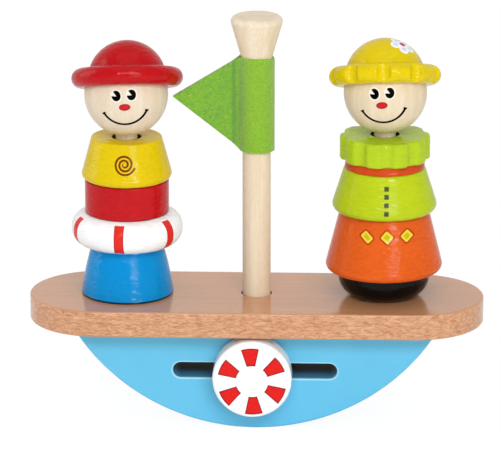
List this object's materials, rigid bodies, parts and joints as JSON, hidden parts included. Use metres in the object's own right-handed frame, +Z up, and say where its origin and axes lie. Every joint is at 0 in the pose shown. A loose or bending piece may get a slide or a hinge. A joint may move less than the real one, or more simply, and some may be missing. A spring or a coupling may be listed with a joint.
{
  "type": "stacking balance game",
  "caption": "Wooden boat-shaped balancing toy: a rocking hull with a mast, a felt pennant, a sliding knob and stacked doll figures that stand on its deck.",
  "frame": {"origin": "lowest point of the rocker's arc, in the middle of the boat, where it touches the table", "axes": "+Z up, X along the boat with the right-hand figure at +X, the front that the figures look out of at -Y"},
  "size_m": [0.22, 0.0712, 0.2],
  "materials": {
    "varnished_beech": "clear gloss varnish",
    "sky_blue_paint": "satin paint on beech",
    "bare_beech": "sanded, unpainted",
    "head_beech": "clear satin varnish",
    "white_paint": "gloss paint on beech",
    "red_paint": "gloss paint on beech",
    "yellow_paint": "gloss paint on beech",
    "blue_paint": "gloss paint on beech",
    "black_paint": "gloss paint on beech",
    "orange_paint": "gloss paint on beech",
    "lime_paint": "gloss paint on beech",
    "green_felt": "pressed wool felt"
  },
  "bodies": {
    "hull": {"deck": "varnished_beech", "keel": "sky_blue_paint", "keel_pegs": "bare_beech", "mast": "bare_beech", "pennant": "green_felt", "sailor_base": "blue_paint", "sailor_swim_ring": "white_paint", "sailor_trunks": "red_paint", "sailor_shirt": "yellow_paint", "sailor_stick": "bare_beech", "sailor_head": "head_beech", "sailor_hat": "red_paint", "girl_base": "black_paint", "girl_skirt": "orange_paint", "girl_coat": "lime_paint", "girl_scarf": "orange_paint", "girl_ruff": "lime_paint", "girl_stick": "bare_beech", "girl_head": "head_beech", "girl_hat": "yellow_paint"},
    "slider": {"slider_pin": "bare_beech"},
    "knob": {"front_knob": "white_paint", "back_knob": "white_paint"}
  },
  "joints": [
    {"name": "knob_slide", "type": "slide", "parent": "hull", "child": "slider", "axis": [1, 0, 0], "range_m": [-0.0348, 0.0368]},
    {"name": "knob_turn", "type": "hinge", "parent": "slider", "child": "knob", "pos_m": [-0.001, 0, 0.0288], "axis": [0, 1, 0], "continuous": true}
  ]
}
